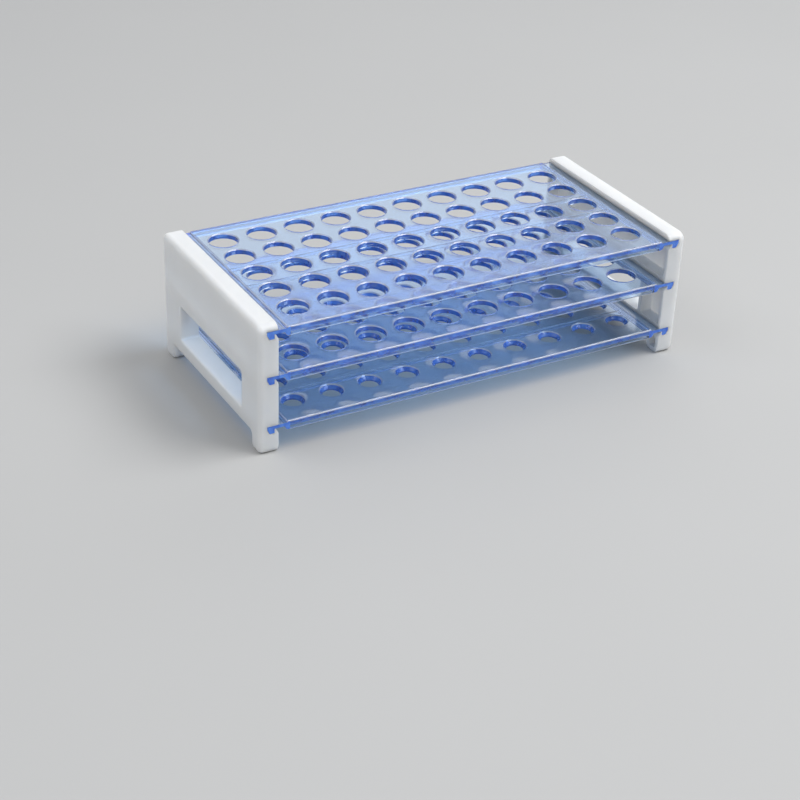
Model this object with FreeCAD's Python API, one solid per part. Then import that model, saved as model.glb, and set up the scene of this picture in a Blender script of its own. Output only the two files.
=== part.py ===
import FreeCAD, Part
import math
import os

os.makedirs("parts", exist_ok=True)

# Test tube rack: two plastic end frames and three slide-in decks.
# Millimetres. X runs along the rack, Y from front to back, Z up. The feet stand on Z = 0.

V = FreeCAD.Vector

# Whole rack
LENGTH = 211.7
DEPTH = 99.2
HEIGHT = 60.1

# Tube grid
COLUMNS = 10
ROWS = 5
PITCH_X = 18.5
PITCH_Y = 17.33
TUBE_HOLE_R = 6.65
RIM_CHAMFER = 0.45
SEAT_TOP_R = 5.6
SEAT_HOLE_R = 4.0
SEAT_CONE_DEPTH = 1.7

# Deck levels: height of the flange's top face above the table
TOP_LEVEL = 57.27
MIDDLE_LEVEL = 36.33
BOTTOM_LEVEL = 12.89

# Deck moulding
PANEL_HALF_X = 93.2
PANEL_HALF_Y = 49.4
PANEL_RISE = 0.74
PLATE = 2.4
DECK_HEIGHT = 4.3
SKIRT = 2.0
END_SKIRT = 1.6
TOP_ROUNDING = 0.8
BOTTOM_ROUNDING = 0.4
RIB_WIDTH = 1.3
RIB_DROP = 1.2
FLANGE = 1.5
FLANGE_ROOT_X = 94.2
NECK_X = 98.5
NECK_LENGTH = 3.0
TOOTH_INNER_X = 98.8
TOOTH_OUTER_X = 102.1
TOOTH_TIP_X = 101.0
TOOTH_DROP = 3.55

# End frame moulding
WALL = 2.0
FRAME_INNER_X = 96.95
RAIL_UNDERSIDE = 7.15
FOOT_WIDTH = 8.75
FRONT_TOP_CORNER_R = 4.0
BACK_TOP_CORNER_R = 2.5
FOOT_CORNER_R = 2.75
INSIDE_CORNER_R = 1.6
OUTER_ROUNDING = 2.2
INNER_ROUNDING = 0.4
WINDOW_HALF_Y = 32.0
WINDOW_LOW = 14.6
WINDOW_HIGH = 31.5
WINDOW_CORNER_R = 1.5
WINDOW_ROUNDING = 0.8
RECESS_LOW = 38.3
RECESS_HIGH = 52.1
RECESS_FLOOR_X = 103.1
RECESS_CORNER_R = 1.0

# Channel in the end frame: the slot takes a deck's flange, the groove its tooth
SLOT_HEADROOM = 0.15
GROOVE_X = 102.3
LIP_OUTER_X = 98.65
LIP_INNER_X = 98.3
LIP_DROP = 1.55
CHAMFER_DROP = 4.1
GROOVE_TAPER_DROP = 1.5
GROOVE_TIP_X = 101.25
GROOVE_DROP = 3.75
STOP_LENGTH = 3.1

# Modelling allowances
OVERCUT = 1.0
RIB_EMBED = 0.5
SAME_PLACE = 1e-3


def block(x0, x1, y0, y1, z0, z1):
    return Part.makeBox(x1 - x0, y1 - y0, z1 - z0, V(x0, y0, z0))


def bar_along_y(outline_xz, y0, y1):
    """Straight bar along Y with the given X-Z outline."""
    corners = [V(x, y0, z) for x, z in outline_xz]
    wire = Part.makePolygon(corners + [corners[0]])
    return Part.Face(wire).extrude(V(0, y1 - y0, 0))


def slab_along_x(outline_yz, radii, x0, x1):
    """Slab between x0 and x1 with a Y-Z outline whose corners are arcs of the given radii."""
    corners = [V(x0, y, z) for y, z in outline_yz]
    count = len(corners)
    edges = []
    ends = []
    for i in range(count):
        to_last = (corners[i - 1] - corners[i]).normalize()
        to_next = (corners[(i + 1) % count] - corners[i]).normalize()
        half = to_last.getAngle(to_next) / 2.0
        reach = radii[i] / math.tan(half)
        inward = (to_last + to_next).normalize()
        middle = corners[i] + inward * (radii[i] / math.sin(half) - radii[i])
        start = corners[i] + to_last * reach
        end = corners[i] + to_next * reach
        edges.append(Part.Arc(start, middle, end).toShape())
        ends.append((start, end))
    for i in range(count):
        edges.append(Part.makeLine(ends[i][1], ends[(i + 1) % count][0]))
    wire = Part.Wire(Part.__sortEdges__(edges))
    return Part.Face(wire).extrude(V(x1 - x0, 0, 0))


def rounded_bar(y0, y1, z0, z1, radius, x0, x1):
    return slab_along_x([(y0, z0), (y1, z0), (y1, z1), (y0, z1)], [radius] * 4, x0, x1)


def same(first, second):
    return abs(first - second) < SAME_PLACE


def edges_on_x(shape, x):
    """Edges that lie wholly in the plane at this x."""
    return [edge for edge in shape.Edges if same(edge.BoundBox.XMin, x) and same(edge.BoundBox.XMax, x)]


def edges_on_z(shape, z):
    """Edges that lie wholly in the plane at this z."""
    return [edge for edge in shape.Edges if same(edge.BoundBox.ZMin, z) and same(edge.BoundBox.ZMax, z)]


def upright_edges(shape):
    return [edge for edge in shape.Edges if edge.BoundBox.ZLength > 0.9 * shape.BoundBox.ZLength]


def mirrored(shape):
    return shape.mirror(V(0, 0, 0), V(1, 0, 0))


def channel(level):
    """Space cut from the right-hand frame for one deck's flange and tooth, open at the front."""
    roof = level + SLOT_HEADROOM
    front = -DEPTH / 2 - OVERCUT
    back = DEPTH / 2 + OVERCUT
    mouth_x = FRAME_INNER_X - OVERCUT
    chamfer_slope = (CHAMFER_DROP - LIP_DROP) / (LIP_INNER_X - FRAME_INNER_X)
    mouth_drop = CHAMFER_DROP + chamfer_slope * (FRAME_INNER_X - mouth_x)
    slot = bar_along_y(
        [
            (mouth_x, roof),
            (LIP_OUTER_X, roof),
            (LIP_OUTER_X, level - LIP_DROP),
            (LIP_INNER_X, level - LIP_DROP),
            (mouth_x, level - mouth_drop),
        ],
        front,
        back,
    )
    groove = bar_along_y(
        [
            (LIP_OUTER_X, roof),
            (GROOVE_X, roof),
            (GROOVE_X, level - GROOVE_TAPER_DROP),
            (GROOVE_TIP_X, level - GROOVE_DROP),
            (LIP_OUTER_X, level - GROOVE_DROP),
        ],
        front,
        DEPTH / 2 - STOP_LENGTH,
    )
    return slot.fuse(groove)


def end_frame():
    """The right-hand end frame. The left-hand one is its mirror image."""
    outer_x = LENGTH / 2
    half = DEPTH / 2
    foot = half - FOOT_WIDTH
    outline = [
        (-half, 0),
        (-foot, 0),
        (-foot, RAIL_UNDERSIDE),
        (foot, RAIL_UNDERSIDE),
        (foot, 0),
        (half, 0),
        (half, HEIGHT),
        (-half, HEIGHT),
    ]
    radii = [
        FOOT_CORNER_R,
        FOOT_CORNER_R,
        INSIDE_CORNER_R,
        INSIDE_CORNER_R,
        FOOT_CORNER_R,
        FOOT_CORNER_R,
        BACK_TOP_CORNER_R,
        FRONT_TOP_CORNER_R,
    ]
    frame = slab_along_x(outline, radii, FRAME_INNER_X, outer_x)
    frame = frame.makeFillet(OUTER_ROUNDING, edges_on_x(frame, outer_x))
    frame = frame.makeFillet(INNER_ROUNDING, edges_on_x(frame, FRAME_INNER_X))

    window_z = (WINDOW_LOW, WINDOW_HIGH)
    through_x = (FRAME_INNER_X - OVERCUT, outer_x + OVERCUT)
    frame = frame.cut(rounded_bar(-WINDOW_HALF_Y, WINDOW_HALF_Y, *window_z, WINDOW_CORNER_R, *through_x))
    opening = frame.BoundBox
    opening.YMin, opening.YMax = -WINDOW_HALF_Y, WINDOW_HALF_Y
    opening.ZMin, opening.ZMax = window_z
    opening.enlarge(SAME_PLACE)
    rim = [edge for edge in edges_on_x(frame, outer_x) if opening.isInside(edge.BoundBox)]
    frame = frame.makeFillet(WINDOW_ROUNDING, rim)

    far_y = half - WALL
    recess_x = (FRAME_INNER_X - OVERCUT, RECESS_FLOOR_X)
    hollows = [rounded_bar(-far_y, far_y, RECESS_LOW, RECESS_HIGH, RECESS_CORNER_R, *recess_x)]
    for side in (-1, 1):
        beside = sorted((side * (WINDOW_HALF_Y + WALL), side * far_y))
        in_foot = sorted((side * (foot + WALL), side * far_y))
        hollows.append(rounded_bar(*beside, *window_z, RECESS_CORNER_R, *recess_x))
        hollows.append(rounded_bar(*in_foot, WALL, RAIL_UNDERSIDE, RECESS_CORNER_R, *recess_x))
    for level in (BOTTOM_LEVEL, MIDDLE_LEVEL, TOP_LEVEL):
        hollows.append(channel(level))
    return frame.cut(hollows)


def flange(level):
    """Right-hand flange of a deck: a ledge on a thickened root, with a tooth that hooks behind the lip."""
    root_x = PANEL_HALF_X - END_SKIRT / 2
    underside = level - FLANGE
    wall_foot = level + PANEL_RISE - DECK_HEIGHT + BOTTOM_ROUNDING
    neck = bar_along_y(
        [
            (root_x, level),
            (NECK_X, level),
            (NECK_X, underside),
            (FLANGE_ROOT_X, underside),
            (PANEL_HALF_X, wall_foot),
            (root_x, wall_foot),
        ],
        -PANEL_HALF_Y,
        PANEL_HALF_Y,
    )
    hook = bar_along_y(
        [
            (root_x, level),
            (TOOTH_OUTER_X, level),
            (TOOTH_OUTER_X, underside),
            (TOOTH_TIP_X, level - TOOTH_DROP),
            (TOOTH_INNER_X, level - TOOTH_DROP),
            (TOOTH_INNER_X, underside),
            (root_x, underside),
        ],
        -PANEL_HALF_Y,
        PANEL_HALF_Y - NECK_LENGTH,
    )
    tip = [edge for edge in edges_on_z(hook, level - TOOTH_DROP) if edge.BoundBox.YLength > SKIRT]
    hook = hook.makeFillet(BOTTOM_ROUNDING, tip)
    return neck.fuse(hook)


def tube_holes(profile, top):
    """One turned cutter per tube place. The profile lists (radius, height above the deck's top)."""
    corners = [V(r, 0, top + dz) for r, dz in profile]
    wire = Part.makePolygon(corners + [corners[0]])
    cutter = Part.Face(wire).revolve(V(0, 0, 0), V(0, 0, 1), 360)
    cutters = []
    for row in range(ROWS):
        for column in range(COLUMNS):
            x = (column - (COLUMNS - 1) / 2) * PITCH_X
            y = (row - (ROWS - 1) / 2) * PITCH_Y
            cutters.append(cutter.translated(V(x, y, 0)))
    return cutters


def deck(level, rib_y, hole_profile):
    """One deck: a plate with a skirt all round, two ribs underneath and a flange at each end."""
    top = level + PANEL_RISE
    low = top - DECK_HEIGHT
    underside = top - PLATE
    body = block(-PANEL_HALF_X, PANEL_HALF_X, -PANEL_HALF_Y, PANEL_HALF_Y, low, top)
    body = body.makeFillet(TOP_ROUNDING, upright_edges(body) + edges_on_z(body, top))
    body = body.makeFillet(BOTTOM_ROUNDING, edges_on_z(body, low))
    inner_x = PANEL_HALF_X - END_SKIRT
    inner_y = PANEL_HALF_Y - SKIRT
    body = body.cut(block(-inner_x, inner_x, -inner_y, inner_y, low - OVERCUT, underside))
    rib_x = inner_x + RIB_EMBED
    rib_z = (underside - RIB_DROP, underside + RIB_EMBED)
    ribs = []
    for side in (-1, 1):
        rib_front = side * rib_y - RIB_WIDTH / 2
        ribs.append(block(-rib_x, rib_x, rib_front, rib_front + RIB_WIDTH, *rib_z))
    ledge = flange(level)
    body = body.fuse(ribs + [ledge, mirrored(ledge)]).removeSplitter()
    return body.cut(tube_holes(hole_profile, top))


below_plate = -PLATE - OVERCUT
through_hole = [
    (0, below_plate),
    (TUBE_HOLE_R, below_plate),
    (TUBE_HOLE_R, -RIM_CHAMFER),
    (TUBE_HOLE_R + RIM_CHAMFER, 0),
    (TUBE_HOLE_R + RIM_CHAMFER, OVERCUT),
    (0, OVERCUT),
]
seat_slope = (SEAT_TOP_R - SEAT_HOLE_R) / SEAT_CONE_DEPTH
tube_seat = [
    (0, below_plate),
    (SEAT_HOLE_R, below_plate),
    (SEAT_HOLE_R, -SEAT_CONE_DEPTH),
    (SEAT_TOP_R + seat_slope * OVERCUT, OVERCUT),
    (0, OVERCUT),
]
between_middle_rows = 0.5 * PITCH_Y
between_outer_rows = 1.5 * PITCH_Y

right_frame = end_frame()
parts = {
    "end_frame_left": mirrored(right_frame),
    "end_frame_right": right_frame,
    "top_deck": deck(TOP_LEVEL, between_middle_rows, through_hole),
    "middle_deck": deck(MIDDLE_LEVEL, between_middle_rows, through_hole),
    "bottom_deck": deck(BOTTOM_LEVEL, between_outer_rows, tube_seat),
}

for name, shape in parts.items():
    solid = shape.Solids[0]
    print(name, "solids", len(shape.Solids), "valid", solid.isValid(), "mm3", round(solid.Volume))
    solid.exportStep("parts/" + name + ".step")
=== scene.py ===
import math

import bpy
from mathutils import Euler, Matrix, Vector


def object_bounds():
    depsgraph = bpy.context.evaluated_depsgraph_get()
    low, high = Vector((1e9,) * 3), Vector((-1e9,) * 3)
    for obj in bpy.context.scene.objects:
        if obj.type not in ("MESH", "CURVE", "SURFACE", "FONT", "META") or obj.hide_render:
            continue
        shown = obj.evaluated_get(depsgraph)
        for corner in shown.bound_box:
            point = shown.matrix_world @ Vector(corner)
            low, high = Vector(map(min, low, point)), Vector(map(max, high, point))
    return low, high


# Clear blue and white plastic test tube rack on a pale studio floor. Metres, in the part's own frame.

FRAME_NODES = ("end_frame_left", "end_frame_right")
DECK_NODES = ("top_deck", "middle_deck", "bottom_deck")

CAMERA_AT = (-0.3794, -0.6321, 0.4065)
CAMERA_TURN_DEG = (59.537, -1.989, -29.097)
CAMERA_LENS_MM = 82.23
CAMERA_SENSOR_MM = 36.0
CAMERA_NEAR = 0.01
CAMERA_FAR = 50.0

# Noise values mostly fall between these, and the narrow pair gives sharper patches.
NOISE_RANGE = (0.3, 0.7)
NARROW_NOISE_RANGE = (0.35, 0.65)

# White plastic. Noise scales are per metre. Each bump is its strength and its height. The reach says
# how far red, green and blue travel inside, as shares of the depth.
WHITE_SHADES = ((0.83, 0.84, 0.84, 1.0), (0.88, 0.89, 0.89, 1.0))
WHITE_ROUGHNESS = (0.34, 0.46)
WHITE_IOR = 1.49
WHITE_SCATTER = 0.7
WHITE_SCATTER_REACH = (1.0, 0.93, 0.85)
WHITE_SCATTER_DEPTH = 0.009
CLOUD_SCALE = 28.0
RIPPLE_SCALE = 90.0
GRAIN_SCALE = 1400.0
RIPPLE_BUMP = (0.25, 0.0003)
GRAIN_BUMP = (0.18, 0.00005)

# Blue plastic. The tints are what its surface passes, and the absorption is by depth.
PLASTIC_IOR = 1.56
CLEARNESS = 0.98
# Painted highlight: the rounded edges lose this share of clearness, so their pale tint shows as the bright
# lines that light catching them would give.
PAINTED_EDGE_HIGHLIGHT = 0.4
PAINTED_LOW_EDGE_HIGHLIGHT = 0.9
# Painted glow: walls are half and flange ends wholly an opaque deep blue, standing in for light carried
# along inside the plate.
WALL_GLOW = 0.5
SATIN_ROUGHNESS = 0.20
POLISHED_ROUGHNESS = (0.04, 0.10)
CLEAR_TINTS = ((0.88, 0.93, 0.995, 1.0), (0.94, 0.965, 1.0, 1.0))
LAMP_TINT = (0.93, 0.95, 0.96, 1.0)
# Painted glow colours: deep blue standing in for light carried along inside the plate, varied by streaks.
PAINTED_GLOW_SHADES = ((0.05, 0.16, 0.72, 1.0), (0.11, 0.30, 0.90, 1.0))
EDGE_ON_ROUGHNESS = (0.12, 0.24)
ABSORPTION_COLOUR = (0.01, 0.49, 0.96, 1.0)
ABSORPTION_DENSITY = 150.0
HAZE_SCALE = 22.0
FLOW_SCALE = 60.0
STREAK_SCALE = 350.0
FLOW_BUMP = (0.12, 0.0003)
STREAK_BUMP = (0.1, 0.0001)

# A deck's end walls and flanges lie beyond END_WALL_X. The shares are heights within its whole height.
END_WALL_X = 0.0916
LONG_EDGE_Y = 0.0484
FOOT_ROUNDING_SHARE = 0.1
RIB_FOOT_SHARE = 0.3
PLATE_FOOT_SHARE = 0.43
RIM_SHARE = 0.89

# Limits on a face's normal. Tilt is its height part, 0 for a wall and 1 for a level face, and END_ON
# is for its front-to-back part, 1 for a face that looks straight to the front or back.
WALL_TILT = 0.2
STEEP_TILT = 0.85
DOWNWARD_TILT = 0.9
FLAT_TILT = 0.97
END_ON = 0.9

FLOOR_SHADES = ((0.50, 0.50, 0.495, 1.0), (0.52, 0.52, 0.515, 1.0))
FLOOR_ROUGHNESS = 0.7
MOTTLE_SCALE = 6.0
FLOOR_RADIUS = 7.0
FLOOR_INNER_RINGS = (0.01, 1.0)
FLOOR_BEND_RADIUS = 1.5
FLOOR_BEND_STEPS = 16
FLOOR_SIDES = 64

# Name, place, size and watts of each lamp
LAMPS = (
    ("key", (0.9, -0.6, 1.6), (1.3, 1.0), 28.0),
    ("fill", (-1.2, -1.4, 1.1), (1.4, 1.0), 4.0),
    ("left_above", (-1.0, 0.3, 1.5), (1.2, 1.0), 7.0),
    ("back", (1.4, 1.9, 1.2), (1.6, 1.0), 6.0),
)
SKY_COLOUR = (0.92, 0.95, 1.0, 1.0)
HORIZON_STRENGTH = 0.2
ZENITH_STRENGTH = 0.5

LIGHT_BOUNCES = 24
TRANSPARENT_BOUNCES = 32


class Graph:
    """Short calls for building one material's node tree."""

    def __init__(self, name):
        self.material = bpy.data.materials.new(name)
        self.material.use_nodes = True
        self.tree = self.material.node_tree
        self.tree.nodes.clear()
        self.output = self.node("ShaderNodeOutputMaterial")

    def node(self, kind, **settings):
        made = self.tree.nodes.new(kind)
        for key, value in settings.items():
            setattr(made, key, value)
        return made

    def link(self, source, target):
        self.tree.links.new(source, target)

    def object_coordinates(self):
        return self.node("ShaderNodeTexCoord").outputs["Object"]

    def noise(self, coordinates, scale, detail):
        noise = self.node("ShaderNodeTexNoise")
        noise.inputs["Scale"].default_value = scale
        noise.inputs["Detail"].default_value = detail
        self.link(coordinates, noise.inputs["Vector"])
        return noise.outputs["Fac"]

    def remap(self, value, before, after):
        """Value stretched from the range before to the range after, and held within it."""
        remap = self.node("ShaderNodeMapRange")
        remap.inputs["From Min"].default_value, remap.inputs["From Max"].default_value = before
        remap.inputs["To Min"].default_value, remap.inputs["To Max"].default_value = after
        self.link(value, remap.inputs["Value"])
        return remap.outputs["Result"]

    def blend(self, factor, colours):
        mix = self.node("ShaderNodeMix", data_type="RGBA")
        mix.inputs[6].default_value, mix.inputs[7].default_value = colours
        self.link(factor, mix.inputs["Factor"])
        return mix.outputs[2]

    def mix_shaders(self, factor, first, second):
        mix = self.node("ShaderNodeMixShader")
        self.link(factor, mix.inputs["Fac"])
        self.link(first, mix.inputs[1])
        self.link(second, mix.inputs[2])
        return mix.outputs["Shader"]

    def compute(self, operation, *values):
        step = self.node("ShaderNodeMath", operation=operation)
        for value, socket in zip(values, step.inputs):
            if isinstance(value, (int, float)):
                socket.default_value = value
            else:
                self.link(value, socket)
        return step.outputs[0]

    def times(self, first, second):
        return self.compute("MULTIPLY", first, second)

    def above(self, value, limit):
        return self.compute("GREATER_THAN", value, limit)

    def below(self, value, limit):
        return self.compute("LESS_THAN", value, limit)

    def size(self, value):
        return self.compute("ABSOLUTE", value)

    def outside(self, mask):
        return self.compute("SUBTRACT", 1.0, mask)

    def split(self, vector):
        parts = self.node("ShaderNodeSeparateXYZ")
        self.link(vector, parts.inputs["Vector"])
        return parts.outputs

    def bump(self, height, strength_and_distance, below=None):
        bump = self.node("ShaderNodeBump")
        bump.inputs["Strength"].default_value, bump.inputs["Distance"].default_value = strength_and_distance
        self.link(height, bump.inputs["Height"])
        if below is not None:
            self.link(below, bump.inputs["Normal"])
        return bump.outputs["Normal"]


def white_plastic():
    """Satin white moulding with a trace of glow through its thin walls."""
    graph = Graph("white_plastic")
    where = graph.object_coordinates()
    cloud = graph.noise(where, CLOUD_SCALE, detail=4.0)
    ripple = graph.noise(where, RIPPLE_SCALE, detail=1.0)
    grain = graph.noise(where, GRAIN_SCALE, detail=2.0)

    shader = graph.node("ShaderNodeBsdfPrincipled")
    patches = graph.remap(cloud, NOISE_RANGE, (0.0, 1.0))
    graph.link(graph.blend(patches, WHITE_SHADES), shader.inputs["Base Color"])
    graph.link(graph.remap(cloud, NOISE_RANGE, WHITE_ROUGHNESS), shader.inputs["Roughness"])
    shader.inputs["IOR"].default_value = WHITE_IOR
    shader.inputs["Subsurface Weight"].default_value = WHITE_SCATTER
    shader.inputs["Subsurface Radius"].default_value = WHITE_SCATTER_REACH
    shader.inputs["Subsurface Scale"].default_value = WHITE_SCATTER_DEPTH
    low_waves = graph.bump(ripple, RIPPLE_BUMP)
    graph.link(graph.bump(grain, GRAIN_BUMP, low_waves), shader.inputs["Normal"])
    graph.link(shader.outputs["BSDF"], graph.output.inputs["Surface"])
    return graph.material


def deck_masks(graph, where):
    """Masks over a deck, by place and by which way a face looks."""
    sources = graph.node("ShaderNodeTexCoord").outputs
    place = graph.split(where)
    share = graph.split(sources["Generated"])["Z"]
    facing = graph.split(sources["Normal"])
    tilt = graph.size(facing["Z"])
    at_end = graph.above(graph.size(place["X"]), END_WALL_X)
    at_long_edge = graph.above(graph.size(place["Y"]), LONG_EDGE_Y)
    at_rim = graph.above(share, RIM_SHARE)
    in_plate = graph.above(share, PLATE_FOOT_SHARE)
    above_ribs = graph.above(share, RIB_FOOT_SHARE)
    low_down = graph.below(share, FOOT_ROUNDING_SHARE)

    downward = graph.below(facing["Z"], -DOWNWARD_TILT)
    underside = graph.times(graph.times(downward, above_ribs), graph.outside(at_end))

    rounded = graph.times(graph.above(tilt, WALL_TILT), graph.below(tilt, FLAT_TILT))
    near_outside = graph.compute("MAXIMUM", graph.compute("MAXIMUM", at_long_edge, at_rim), at_end)
    edges = graph.times(rounded, near_outside)

    steep_in_plate = graph.times(graph.below(tilt, STEEP_TILT), in_plate)
    end_on = graph.above(graph.size(facing["Y"]), END_ON)
    return {
        "underside": underside,
        "edges": graph.times(edges, graph.outside(low_down)),
        "low_edges": graph.times(edges, low_down),
        "walls": graph.times(steep_in_plate, graph.outside(edges)),
        "flange_ends": graph.times(at_end, end_on),
    }


def blue_plastic():
    """Clear blue moulding: satin under the plate, polished elsewhere, with a painted highlight as pale
    lines on its rounded edges and a painted glow of deep blue on its walls and flange ends, where light
    carried along inside the plate would show.

    A deck has this one material, because light only leaves a volume through the material it came in by.
    """
    graph = Graph("blue_plastic")
    where = graph.object_coordinates()
    masks = deck_masks(graph, where)
    haze = graph.remap(graph.noise(where, HAZE_SCALE, detail=4.0), NOISE_RANGE, (0.0, 1.0))
    flow = graph.noise(where, FLOW_SCALE, detail=1.0)
    streak = graph.noise(where, STREAK_SCALE, detail=3.0)

    clear = graph.node("ShaderNodeBsdfPrincipled")
    graph.link(graph.blend(haze, CLEAR_TINTS), clear.inputs["Base Color"])
    polished = graph.remap(haze, (0.0, 1.0), POLISHED_ROUGHNESS)
    frosting = graph.times(masks["underside"], SATIN_ROUGHNESS)
    graph.link(graph.compute("ADD", polished, frosting), clear.inputs["Roughness"])
    graph.link(graph.bump(flow, FLOW_BUMP), clear.inputs["Normal"])
    clear.inputs["IOR"].default_value = PLASTIC_IOR
    # Painted highlight: rounded outer edges turn partly pale and cloudy, standing in for light caught on
    # them.
    upper_highlight = graph.times(masks["edges"], PAINTED_EDGE_HIGHLIGHT)
    lower_highlight = graph.times(masks["low_edges"], PAINTED_LOW_EDGE_HIGHLIGHT)
    painted_highlight = graph.compute("ADD", upper_highlight, lower_highlight)
    graph.link(graph.compute("SUBTRACT", CLEARNESS, painted_highlight), clear.inputs["Transmission Weight"])

    passing = graph.node("ShaderNodeBsdfTransparent")
    passing.inputs["Color"].default_value = LAMP_TINT
    to_a_lamp = graph.node("ShaderNodeLightPath").outputs["Is Shadow Ray"]
    seen_or_lit = graph.mix_shaders(to_a_lamp, clear.outputs["BSDF"], passing.outputs["BSDF"])

    # Painted glow: an opaque deep blue surface standing in for light carried along inside the plate to its
    # walls and ends.
    painted_glow = graph.node("ShaderNodeBsdfPrincipled")
    streaks = graph.remap(streak, NARROW_NOISE_RANGE, (0.0, 1.0))
    graph.link(graph.blend(streaks, PAINTED_GLOW_SHADES), painted_glow.inputs["Base Color"])
    graph.link(graph.remap(streak, NOISE_RANGE, EDGE_ON_ROUGHNESS), painted_glow.inputs["Roughness"])
    graph.link(graph.bump(streak, STREAK_BUMP), painted_glow.inputs["Normal"])
    painted_glow.inputs["IOR"].default_value = PLASTIC_IOR

    glow = graph.times(masks["walls"], WALL_GLOW)
    painted_glow_share = graph.compute("MAXIMUM", glow, masks["flange_ends"])
    whole = graph.mix_shaders(painted_glow_share, seen_or_lit, painted_glow.outputs["BSDF"])
    graph.link(whole, graph.output.inputs["Surface"])

    absorption = graph.node("ShaderNodeVolumeAbsorption")
    absorption.inputs["Color"].default_value = ABSORPTION_COLOUR
    absorption.inputs["Density"].default_value = ABSORPTION_DENSITY
    graph.link(absorption.outputs["Volume"], graph.output.inputs["Volume"])
    return graph.material


def floor_material():
    """Matt pale floor with a faint mottle."""
    graph = Graph("studio_floor")
    shader = graph.node("ShaderNodeBsdfPrincipled")
    mottle = graph.noise(graph.object_coordinates(), MOTTLE_SCALE, detail=3.0)
    graph.link(graph.blend(mottle, FLOOR_SHADES), shader.inputs["Base Color"])
    shader.inputs["Roughness"].default_value = FLOOR_ROUGHNESS
    graph.link(shader.outputs["BSDF"], graph.output.inputs["Surface"])
    return graph.material


def paint(thing, material):
    thing.data.materials.clear()
    thing.data.materials.append(material)
    for face in thing.data.polygons:
        face.material_index = 0


def studio_floor(height):
    """Round floor that sweeps up at its rim, as one smooth mesh whose faces look up and inwards."""
    flat_radius = FLOOR_RADIUS - FLOOR_BEND_RADIUS
    profile = [(radius, 0.0) for radius in FLOOR_INNER_RINGS + (flat_radius,)]
    for i in range(1, FLOOR_BEND_STEPS + 1):
        turn = math.radians(90.0) * i / FLOOR_BEND_STEPS
        out = FLOOR_BEND_RADIUS * math.sin(turn)
        up = FLOOR_BEND_RADIUS * (1 - math.cos(turn))
        profile.append((flat_radius + out, up))
    vertices = []
    for radius, z in profile:
        for i in range(FLOOR_SIDES):
            angle = 2 * math.pi * i / FLOOR_SIDES
            vertices.append((radius * math.cos(angle), radius * math.sin(angle), z + height))
    faces = [tuple(range(FLOOR_SIDES))]
    for ring in range(len(profile) - 1):
        for i in range(FLOOR_SIDES):
            here = ring * FLOOR_SIDES + i
            beside = ring * FLOOR_SIDES + (i + 1) % FLOOR_SIDES
            faces.append((here, here + FLOOR_SIDES, beside + FLOOR_SIDES, beside))
    mesh = bpy.data.meshes.new("studio_floor")
    mesh.from_pydata(vertices, [], faces)
    mesh.shade_smooth()
    floor = bpy.data.objects.new("studio_floor", mesh)
    bpy.context.scene.collection.objects.link(floor)
    paint(floor, floor_material())


def soft_light(name, at, size, watts, target):
    light = bpy.data.lights.new(name, "AREA")
    light.shape = "RECTANGLE"
    light.size, light.size_y = size
    light.energy = watts
    lamp = bpy.data.objects.new(name, light)
    lamp.location = at
    lamp.rotation_euler = (Vector(target) - Vector(at)).to_track_quat("-Z", "Y").to_euler()
    bpy.context.scene.collection.objects.link(lamp)


def studio_world():
    """A soft dome, brighter overhead than at the horizon."""
    world = bpy.data.worlds.new("studio")
    world.use_nodes = True
    tree = world.node_tree
    background = tree.nodes["Background"]
    background.inputs["Color"].default_value = SKY_COLOUR
    direction = tree.nodes.new("ShaderNodeTexCoord")
    axes = tree.nodes.new("ShaderNodeSeparateXYZ")
    strength = tree.nodes.new("ShaderNodeMapRange")
    strength.inputs["To Min"].default_value = HORIZON_STRENGTH
    strength.inputs["To Max"].default_value = ZENITH_STRENGTH
    tree.links.new(direction.outputs["Generated"], axes.inputs["Vector"])
    tree.links.new(axes.outputs["Z"], strength.inputs["Value"])
    tree.links.new(strength.outputs["Result"], background.inputs["Strength"])
    bpy.context.scene.world = world


def render_look():
    scene = bpy.context.scene
    scene.view_settings.view_transform = "Standard"
    scene.cycles.max_bounces = LIGHT_BOUNCES
    scene.cycles.transmission_bounces = LIGHT_BOUNCES
    scene.cycles.transparent_max_bounces = TRANSPARENT_BOUNCES
    # Lamps already shine through the plastic by its shadow rays, so refracted light isn't counted again.
    scene.cycles.caustics_refractive = False


def camera():
    data = bpy.data.cameras.new("camera")
    data.sensor_width = CAMERA_SENSOR_MM
    data.lens = CAMERA_LENS_MM
    data.clip_start = CAMERA_NEAR
    data.clip_end = CAMERA_FAR
    seen_from = bpy.data.objects.new("camera", data)
    seen_from.location = CAMERA_AT
    seen_from.rotation_euler = Euler([math.radians(a) for a in CAMERA_TURN_DEG], "XYZ")
    bpy.context.scene.collection.objects.link(seen_from)
    bpy.context.scene.camera = seen_from


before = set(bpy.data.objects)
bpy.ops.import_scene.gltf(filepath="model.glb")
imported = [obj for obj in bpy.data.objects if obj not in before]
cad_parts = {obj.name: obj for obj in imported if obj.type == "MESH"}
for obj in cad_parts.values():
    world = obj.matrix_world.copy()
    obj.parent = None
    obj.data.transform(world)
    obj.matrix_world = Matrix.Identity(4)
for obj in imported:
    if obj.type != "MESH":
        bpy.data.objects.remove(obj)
packed_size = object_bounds()

white = white_plastic()
blue = blue_plastic()
for name in FRAME_NODES:
    paint(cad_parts[name], white)
for name in DECK_NODES:
    paint(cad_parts[name], blue)

low, high = packed_size
studio_floor(low.z)
for lamp in LAMPS:
    soft_light(*lamp, target=(low + high) / 2)
studio_world()
render_look()
camera()
